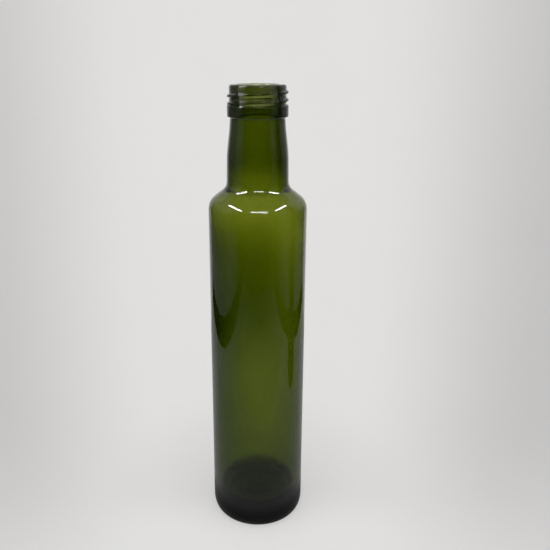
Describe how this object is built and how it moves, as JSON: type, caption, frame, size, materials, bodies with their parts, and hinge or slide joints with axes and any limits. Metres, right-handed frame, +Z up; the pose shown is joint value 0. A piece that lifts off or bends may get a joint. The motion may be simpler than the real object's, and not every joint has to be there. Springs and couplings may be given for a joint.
{
  "type": "glass oil bottle",
  "caption": "Tall round bottle of dark olive green glass with a sloped shoulder and a screw finish, empty and uncapped, for pouring oil.",
  "frame": {"origin": "centre of the foot, on the plane that the bottle stands on", "axes": "+Z up along the bottle's axis; the heel notch faces -Y"},
  "size_m": [0.0488, 0.0488, 0.23],
  "materials": {
    "green_glass": "glossy transparent dark olive green glass"
  },
  "bodies": {
    "root": {"bottle": "green_glass"}
  },
  "joints": []
}
